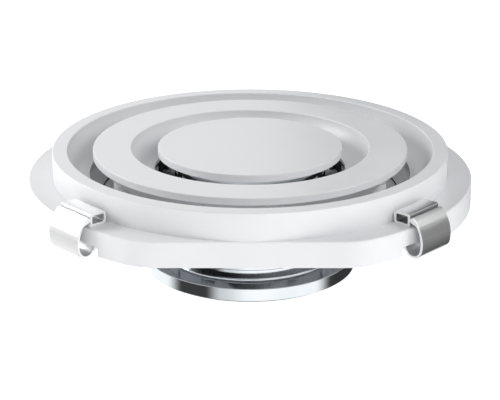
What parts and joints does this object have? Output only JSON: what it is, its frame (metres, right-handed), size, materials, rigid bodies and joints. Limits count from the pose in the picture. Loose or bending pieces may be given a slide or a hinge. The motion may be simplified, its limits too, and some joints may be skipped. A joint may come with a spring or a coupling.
{
  "type": "ceiling air diffuser",
  "caption": "Round plaster-in ceiling air diffuser: concentric white plaster rings, screw-adjusted centre disc, steel duct spigot and aluminium edge clips.",
  "frame": {"origin": "centre of the spigot rim's lower edge, the lowest point of the object", "axes": "+Z towards the room-side face, +X across the two wings of the mounting flange, +Y across its two flats"},
  "size_m": [0.2068, 0.1846, 0.0585],
  "materials": {
    "plaster": "fine cast plaster, sealed and painted matt white",
    "polished_steel": "bright plated and polished steel",
    "galvanised": "zinc-plated sheet steel",
    "coated_sheet": "white powder coat on sheet steel",
    "extruded_aluminium": "mill-finish extrusion with fine drawn lines",
    "zinc_fastener": "bright zinc-plated fastener",
    "brass_insert": "turned brass",
    "seal_rubber": "moulded EPDM",
    "foam": "closed-cell foam",
    "black_moulding": "black moulded plastic, fine matt grain",
    "white_nylon": "natural nylon"
  },
  "bodies": {
    "housing": {"plaster_body": "plaster", "middle_ring": "plaster", "back_plate": "coated_sheet", "plate_gasket": "foam", "spigot_neck": "polished_steel", "spigot_rim": "polished_steel", "duct_seal": "seal_rubber", "throat_collar": "black_moulding", "spider": "galvanised", "hub_nut": "zinc_fastener", "plate_inserts": "brass_insert", "plate_screws": "zinc_fastener", "ring_inserts": "brass_insert", "post_screws": "zinc_fastener", "spider_rivets": "zinc_fastener", "neck_rivets": "zinc_fastener", "ring_post_1": "zinc_fastener", "ring_post_2": "zinc_fastener", "ring_post_3": "zinc_fastener", "clip_box_1": "extruded_aluminium", "clip_box_2": "extruded_aluminium", "clip_box_3": "extruded_aluminium", "clip_box_4": "extruded_aluminium"},
    "lift_washer": {"thrust_washer": "white_nylon"},
    "disc_assembly": {"centre_disc": "plaster", "disc_skirt": "polished_steel", "disc_insert": "brass_insert", "jam_nut": "zinc_fastener", "spindle": "zinc_fastener", "stop_nut": "zinc_fastener"},
    "clip_spring_1": {"clip_arm_1": "extruded_aluminium"},
    "clip_spring_2": {"clip_arm_2": "extruded_aluminium"},
    "clip_spring_3": {"clip_arm_3": "extruded_aluminium"},
    "clip_spring_4": {"clip_arm_4": "extruded_aluminium"}
  },
  "joints": [
    {"name": "disc_lift", "type": "slide", "parent": "housing", "child": "lift_washer", "axis": [0, 0, 1], "range_m": [-0.0025, 0.012]},
    {"name": "disc_turn", "type": "hinge", "parent": "lift_washer", "child": "disc_assembly", "pos_m": [0, 0, 0.0485], "axis": [0, 0, 1], "range_deg": [-720, 3456]},
    {"name": "clip_flex_1", "type": "hinge", "parent": "housing", "child": "clip_spring_1", "pos_m": [0.07558, 0.06805, 0.0484], "axis": [-0.6691, 0.7431, 0], "range_deg": [0, 6], "stiffness_Nm_per_rad": 1.5},
    {"name": "clip_flex_2", "type": "hinge", "parent": "housing", "child": "clip_spring_2", "pos_m": [-0.07558, 0.06805, 0.0484], "axis": [-0.6691, -0.7431, 0], "range_deg": [0, 6], "stiffness_Nm_per_rad": 1.5},
    {"name": "clip_flex_3", "type": "hinge", "parent": "housing", "child": "clip_spring_3", "pos_m": [-0.07558, -0.06805, 0.0484], "axis": [0.6691, -0.7431, 0], "range_deg": [0, 6], "stiffness_Nm_per_rad": 1.5},
    {"name": "clip_flex_4", "type": "hinge", "parent": "housing", "child": "clip_spring_4", "pos_m": [0.07558, -0.06805, 0.0484], "axis": [0.6691, 0.7431, 0], "range_deg": [0, 6], "stiffness_Nm_per_rad": 1.5}
  ],
  "couplings": [
    {"joint": "disc_lift", "follows": "disc_turn", "m_per_rad": 0.00019894}
  ]
}
